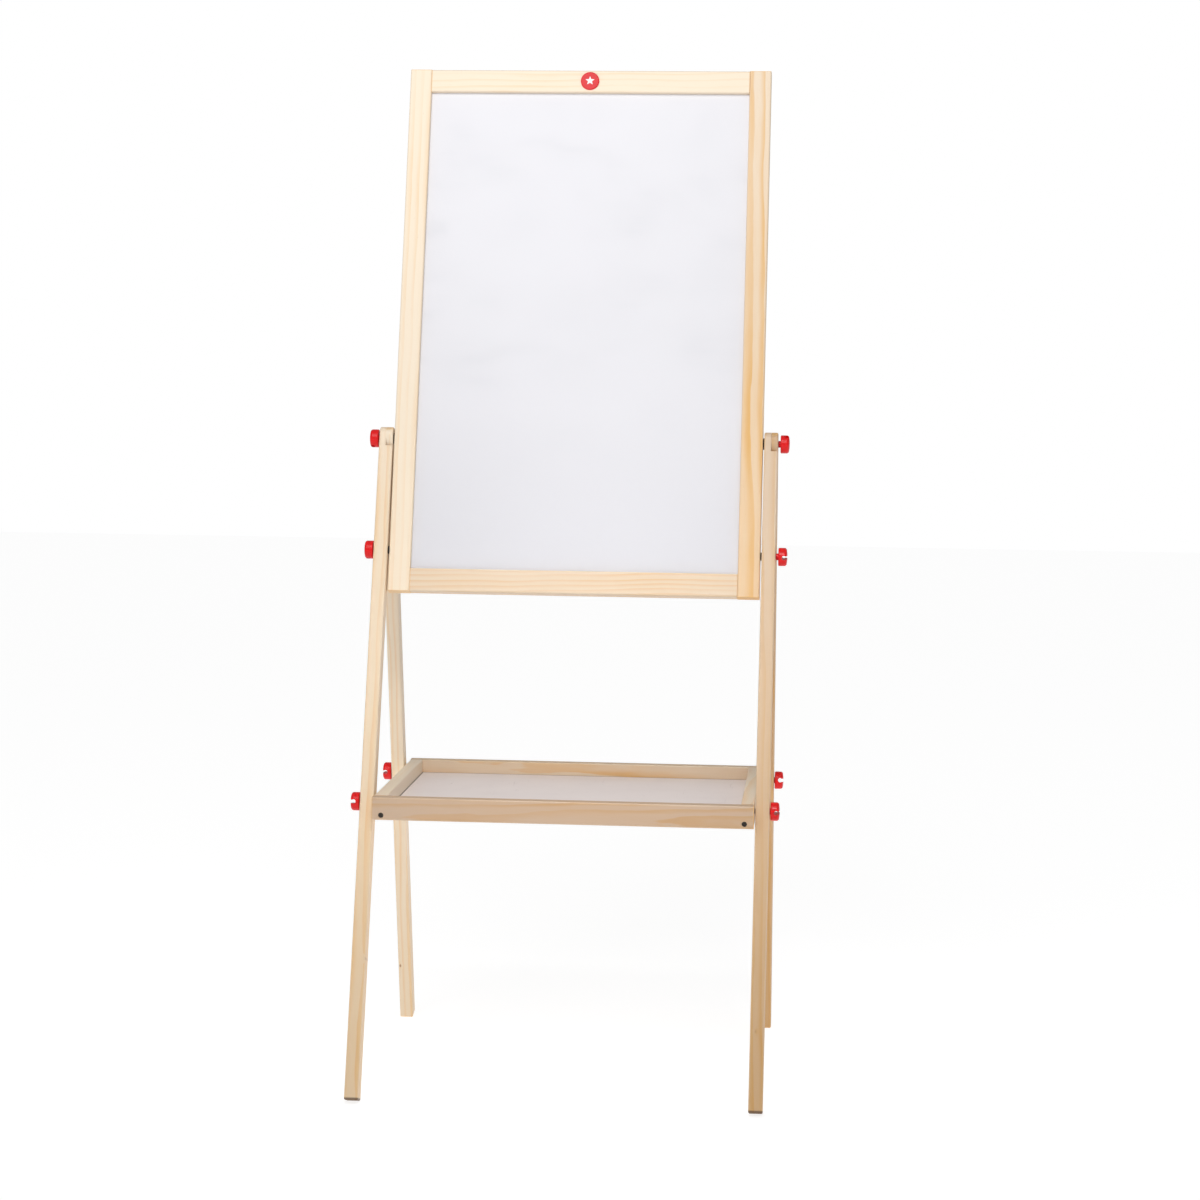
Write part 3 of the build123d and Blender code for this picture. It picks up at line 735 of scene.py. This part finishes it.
class EASEL_OT_board_frame(Operator):
    """Give the board's stiles, rails and dowels their pine"""
    bl_idname = "easel.board_frame"
    bl_label = "Board frame"

    def execute(self, context):
        for node, cut in FRAME_CUTS.items():
            along, across = (BOARD_UP, ACROSS) if "stile" in node else (ACROSS, BOARD_UP)
            piece = PieceFrame(node, along, across)
            dress(node, pine(f"pine {node}", piece, cut, context.scene.easel_wood))
        return {"FINISHED"}


class EASEL_OT_writing_sheets(Operator):
    """Give the whiteboard and the blackboard their coatings"""
    bl_idname = "easel.writing_sheets"
    bl_label = "Writing sheets"

    def execute(self, context):
        colours = context.scene.easel_sheets
        front = PieceFrame("whiteboard_sheet", BOARD_UP, ACROSS)
        dress("whiteboard_sheet", white_lacquer("white lacquer", front, colours.white))
        rear = PieceFrame("blackboard_sheet", BOARD_UP, ACROSS)
        paint = chalk_paint("blackboard paint", rear, colours.black, colours.chalk)
        dress("blackboard_sheet", paint)
        return {"FINISHED"}


class EASEL_OT_badge(Operator):
    """Give the badge and its star their plastics"""
    bl_idname = "easel.badge"
    bl_label = "Badge"

    def execute(self, context):
        plastic = context.scene.easel_plastic
        for node, colour in (("badge", plastic.badge), ("badge_star", plastic.star)):
            centre = sum(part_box(node), Vector()) / 2
            dress(node, moulded_plastic(f"{node} plastic", centre, colour, 0.42))
        return {"FINISHED"}


# Painted light and shade: the rails and sides are set browner or paler for the light that falls on them, the front
# rail browner and the left side paler.
TRAY_CUTS = {
    "tray_rail_front": Cut(83, (-9, -34), (0.016, 0.010), ring=0.45, contrast=0.62, tone=0.12,
                           depth=0.52, wave=1.1),
    "tray_rail_rear": Cut(89, (9, -27), (-0.016, 0.010), ring=0.62, contrast=0.90, tone=0.14,
                          depth=0.20, wave=1.2),
    "tray_side_left": Cut(97, (34, 40), (0.014, -0.008), contrast=0.40, tone=-0.14),
    "tray_side_right": Cut(101, (-40, 32), (-0.010, 0.010), contrast=0.50, tone=0.06),
}


class EASEL_OT_tray(Operator):
    """Give the tray's rails their pine and its floor its coating"""
    bl_idname = "easel.tray"
    bl_label = "Tray"

    def execute(self, context):
        for node, cut in TRAY_CUTS.items():
            piece = PieceFrame(node, ACROSS if "rail" in node else BACK, UP)
            dress(node, pine(f"pine {node}", piece, cut, context.scene.easel_wood))
        floor = PieceFrame("tray_floor", BACK, ACROSS)
        dress("tray_floor", coated_board("tray panel", floor, context.scene.easel_sheets.tray))
        return {"FINISHED"}


class EASEL_OT_knobs(Operator):
    """Give the eight knobs their plastic"""
    bl_idname = "easel.knobs"
    bl_label = "Knobs"

    def execute(self, context):
        plastic = context.scene.easel_plastic
        for node in sorted(NODES):
            if node.startswith("knob_"):
                centre = sum(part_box(node), Vector()) / 2
                dress(node, moulded_plastic(f"{node} plastic", centre, plastic.red,
                                            plastic.roughness, wear=0.12))
        return {"FINISHED"}


class EASEL_OT_studs(Operator):
    """Thread a steel stud into each knob"""
    bl_idname = "easel.studs"
    bl_label = "Studs"

    def execute(self, context):
        metal = context.scene.easel_metal
        for node in [name for name in sorted(NODES) if name.startswith("stud_")]:
            low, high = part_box(node)
            centre = (low + high) / 2
            inward = -ACROSS if centre.x > 0 else ACROSS
            recipe = Recipe("threaded stud", Length=high.x - low.x, Radius=(high.z - low.z) / 2,
                            Pitch=metal.pitch, Thread_depth=metal.depth, Tip=metal.tip,
                            Seed=metal.seed,
                            Material=zinc_plate(f"{node} zinc", centre, metal.zinc))
            keys = ("Length", "Radius", "Pitch", "Thread depth", "Tip")
            rod = threaded_rod(recipe, *(recipe[key] for key in keys))
            stud = recipe.grow(rod, f"threaded_{node}", [centre], [inward])
            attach(stud, node.replace("stud_", "knob_"))
            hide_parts(node)
        return {"FINISHED"}


HEAD_SIDES = 32              # flats round a screw's head
CROSS_BREADTH = 0.26         # breadth of an arm of the driver cross, as a share of its length
CROSS_MIDDLE = 0.72          # size of the cutting bars halfway along them
CROSS_TAPER = 0.56           # how much of that they lose from end to end
CROSS_SINK = 0.1             # how much deeper than half the head the cross goes, mm
SHANK_LAP = 0.05             # how far the shank runs up into the head, mm


class EASEL_OT_screws(Operator):
    """Sink the tray's four cross-head screws"""
    bl_idname = "easel.screws"
    bl_label = "Tray screws"

    def execute(self, context):
        metal = context.scene.easel_metal
        low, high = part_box("tray_screws")
        head = (high.z - low.z) / 2
        centre = (low + high) / 2
        recipe = Recipe("cross-head screw", Head_radius=head, Head_height=metal.head,
                        Shank_radius=metal.shank, Length=metal.screw_length,
                        Pitch=metal.screw_pitch, Thread_depth=metal.screw_depth,
                        Point=metal.point, Cross=metal.cross, Seed=metal.seed,
                        Material=phosphated_steel("screw steel", centre, metal.black))
        height = recipe["Head height"]
        cone = recipe.node("GeometryNodeMeshCone", None, {
            "Vertices": HEAD_SIDES, "Side Segments": 1, "Radius Top": recipe["Shank radius"],
            "Radius Bottom": recipe["Head radius"], "Depth": height,
        })
        cuts = []
        for along_x, along_y in ((1.0, CROSS_BREADTH), (CROSS_BREADTH, 1.0)):
            size = recipe.vector(recipe["Cross"] * along_x, recipe["Cross"] * along_y, height)
            bar = recipe.node("GeometryNodeMeshCube", None, {"Size": size})
            x, y, z = recipe.spot()
            taper = CROSS_MIDDLE - z / height * CROSS_TAPER
            place = recipe.vector(x * taper, y * taper, z + CROSS_SINK * MM)
            cuts.append(recipe.reshape(bar, place))
        recessed = recipe.node("GeometryNodeMeshBoolean",
                               {"operation": "DIFFERENCE", "solver": "EXACT"},
                               {"Mesh 1": cone, "Mesh 2": cuts})
        length = recipe["Length"] - height
        shank = threaded_rod(recipe, length, recipe["Shank radius"], recipe["Pitch"],
                             recipe["Thread depth"], recipe["Point"])
        x, y, z = recipe.spot()
        middle = z + height + length / 2 - SHANK_LAP * MM
        shank = recipe.reshape(shank, recipe.vector(x, y, middle))
        screw = recipe.node("GeometryNodeJoinGeometry", None, {"Geometry": [recessed, shank]})
        places, directions = [], []
        for x in (low.x + head, high.x - head):
            for y, inward in ((low.y, BACK), (high.y, -BACK)):
                places.append(Vector((x, y, centre.z)))
                directions.append(inward)
        screws = recipe.grow(screw, "cross_head_screws", places, directions)
        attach(screws, "tray")
        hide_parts("tray_screws")
        return {"FINISHED"}


class EASEL_OT_hardware(Operator):
    """Give the inserts, washers and pads their metal and rubber"""
    bl_idname = "easel.hardware"
    bl_label = "Hardware"

    def execute(self, context):
        metal = context.scene.easel_metal
        rubber = context.scene.easel_plastic.rubber
        for node in sorted(NODES):
            centre = sum(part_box(node), Vector()) / 2
            if node.endswith("_inserts"):
                dress(node, zinc_plate(f"{node} zinc", centre, metal.zinc))
            elif node.startswith("lock_pad_") or node == "pivot_washers":
                dress(node, matt_rubber(f"{node} rubber", centre, rubber))
        return {"FINISHED"}


FLOOR_REACH = 9.0
KEY_LIGHT = {"place": (-0.15, -1.2, 1.9), "target": (0, 0, 1.2), "size": (1.0, 1.0), "spread": 115}
TRAY_LIGHT = {"place": (0.2, -1.3, 1.75), "target": (0, 0, 0.31), "size": (0.4, 0.3), "spread": 25}


def soft_light(name, power, place, target, size, spread):
    """A rectangular studio light that faces a target; its spread is in degrees."""
    lamp = bpy.data.lights.new(name, "AREA")
    lamp.shape = "RECTANGLE"
    lamp.size, lamp.size_y = size
    lamp.energy = power
    lamp.spread = math.radians(spread)
    light = bpy.data.objects.new(name, lamp)
    light.visible_camera = False
    bpy.context.scene.collection.objects.link(light)
    light.location = place
    light.rotation_euler = (Vector(target) - Vector(place)).to_track_quat("-Z", "Y").to_euler()


def studio_surround(strength):
    """An even surround: white to the camera, and dimmer as a source of light."""
    world = bpy.data.worlds.new("studio surround")
    bpy.context.scene.world = world
    world.use_nodes = True
    tree = world.node_tree
    tree.nodes.clear()
    output = tree.nodes.new("ShaderNodeOutputWorld")
    background = tree.nodes.new("ShaderNodeBackground")
    background.inputs["Color"].default_value = WHITE
    tree.links.new(background.outputs[0], output.inputs["Surface"])
    ray = tree.nodes.new("ShaderNodeLightPath")
    strengths = tree.nodes.new("ShaderNodeMapRange")
    strengths.inputs["To Min"].default_value = strength
    strengths.inputs["To Max"].default_value = 1.0
    tree.links.new(ray.outputs["Is Camera Ray"], strengths.inputs["Value"])
    tree.links.new(strengths.outputs[0], background.inputs["Strength"])


class EASEL_OT_studio(Operator):
    """Set up the floor, the lights and the camera"""
    bl_idname = "easel.studio"
    bl_label = "Studio"

    def execute(self, context):
        studio = context.scene.easel_studio
        mesh = bpy.data.meshes.new("studio_floor")
        signs = ((-1, -1), (1, -1), (1, 1), (-1, 1))
        corners = [(FLOOR_REACH * x, FLOOR_REACH * y, 0) for x, y in signs]
        mesh.from_pydata(corners, [], [(0, 1, 2, 3)])
        floor = bpy.data.objects.new("studio_floor", mesh)
        context.scene.collection.objects.link(floor)
        paper = Finish("studio floor", **{
            "Base Color": studio.floor, "Roughness": 0.9, "Specular IOR Level": 0.1,
            "Emission Color": WHITE, "Emission Strength": studio.glow,
        })
        mesh.materials.append(paper.material)

        soft_light("key", studio.key, **KEY_LIGHT)
        soft_light("tray light", studio.fill, **TRAY_LIGHT)
        studio_surround(studio.sky)

        lens = bpy.data.cameras.new("viewpoint")
        lens.sensor_width = 36.0
        lens.lens = studio.lens
        camera = bpy.data.objects.new("viewpoint", lens)
        context.scene.collection.objects.link(camera)
        forward = Vector((-math.sin(studio.heading) * math.cos(studio.tilt),
                          math.cos(studio.heading) * math.cos(studio.tilt), math.sin(studio.tilt)))
        level = Vector((math.cos(studio.heading), math.sin(studio.heading), 0))
        upward = level.cross(forward)
        right = level * math.cos(studio.roll) + upward * math.sin(studio.roll)
        above = upward * math.cos(studio.roll) - level * math.sin(studio.roll)
        turn = Matrix((right, above, -forward)).transposed().to_4x4()
        camera.matrix_world = Matrix.Translation(studio.viewpoint) @ turn
        context.scene.camera = camera
        context.scene.view_settings.view_transform = "Standard"
        return {"FINISHED"}


OPERATORS = (
    EASEL_OT_studio, EASEL_OT_legs, EASEL_OT_board_frame, EASEL_OT_writing_sheets, EASEL_OT_badge,
    EASEL_OT_tray, EASEL_OT_knobs, EASEL_OT_studs, EASEL_OT_screws, EASEL_OT_hardware,
)


class EASEL_PT_panel(Panel):
    """Lists the easel's settings and steps"""
    bl_idname = "EASEL_PT_panel"
    bl_label = "Children's Easel"
    bl_space_type = "VIEW_3D"
    bl_region_type = "UI"
    bl_category = "Easel"

    def draw(self, context):
        for name, group in SETTINGS.items():
            box = self.layout.box()
            for setting in group.__annotations__:
                box.prop(getattr(context.scene, name), setting)
        for operator in OPERATORS:
            self.layout.operator(operator.bl_idname)


CLASSES = (*SETTINGS.values(), *OPERATORS, EASEL_PT_panel)


def register():
    for cls in CLASSES:
        bpy.utils.register_class(cls)
    for name, group in SETTINGS.items():
        setattr(bpy.types.Scene, name, PointerProperty(type=group))


def unregister():
    for name in SETTINGS:
        delattr(bpy.types.Scene, name)
    for cls in reversed(CLASSES):
        bpy.utils.unregister_class(cls)


def main():
    """Register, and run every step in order."""
    register()
    for operator in OPERATORS:
        group, step = operator.bl_idname.split(".")
        getattr(getattr(bpy.ops, group), step)()


if __name__ == "__main__":
    main()
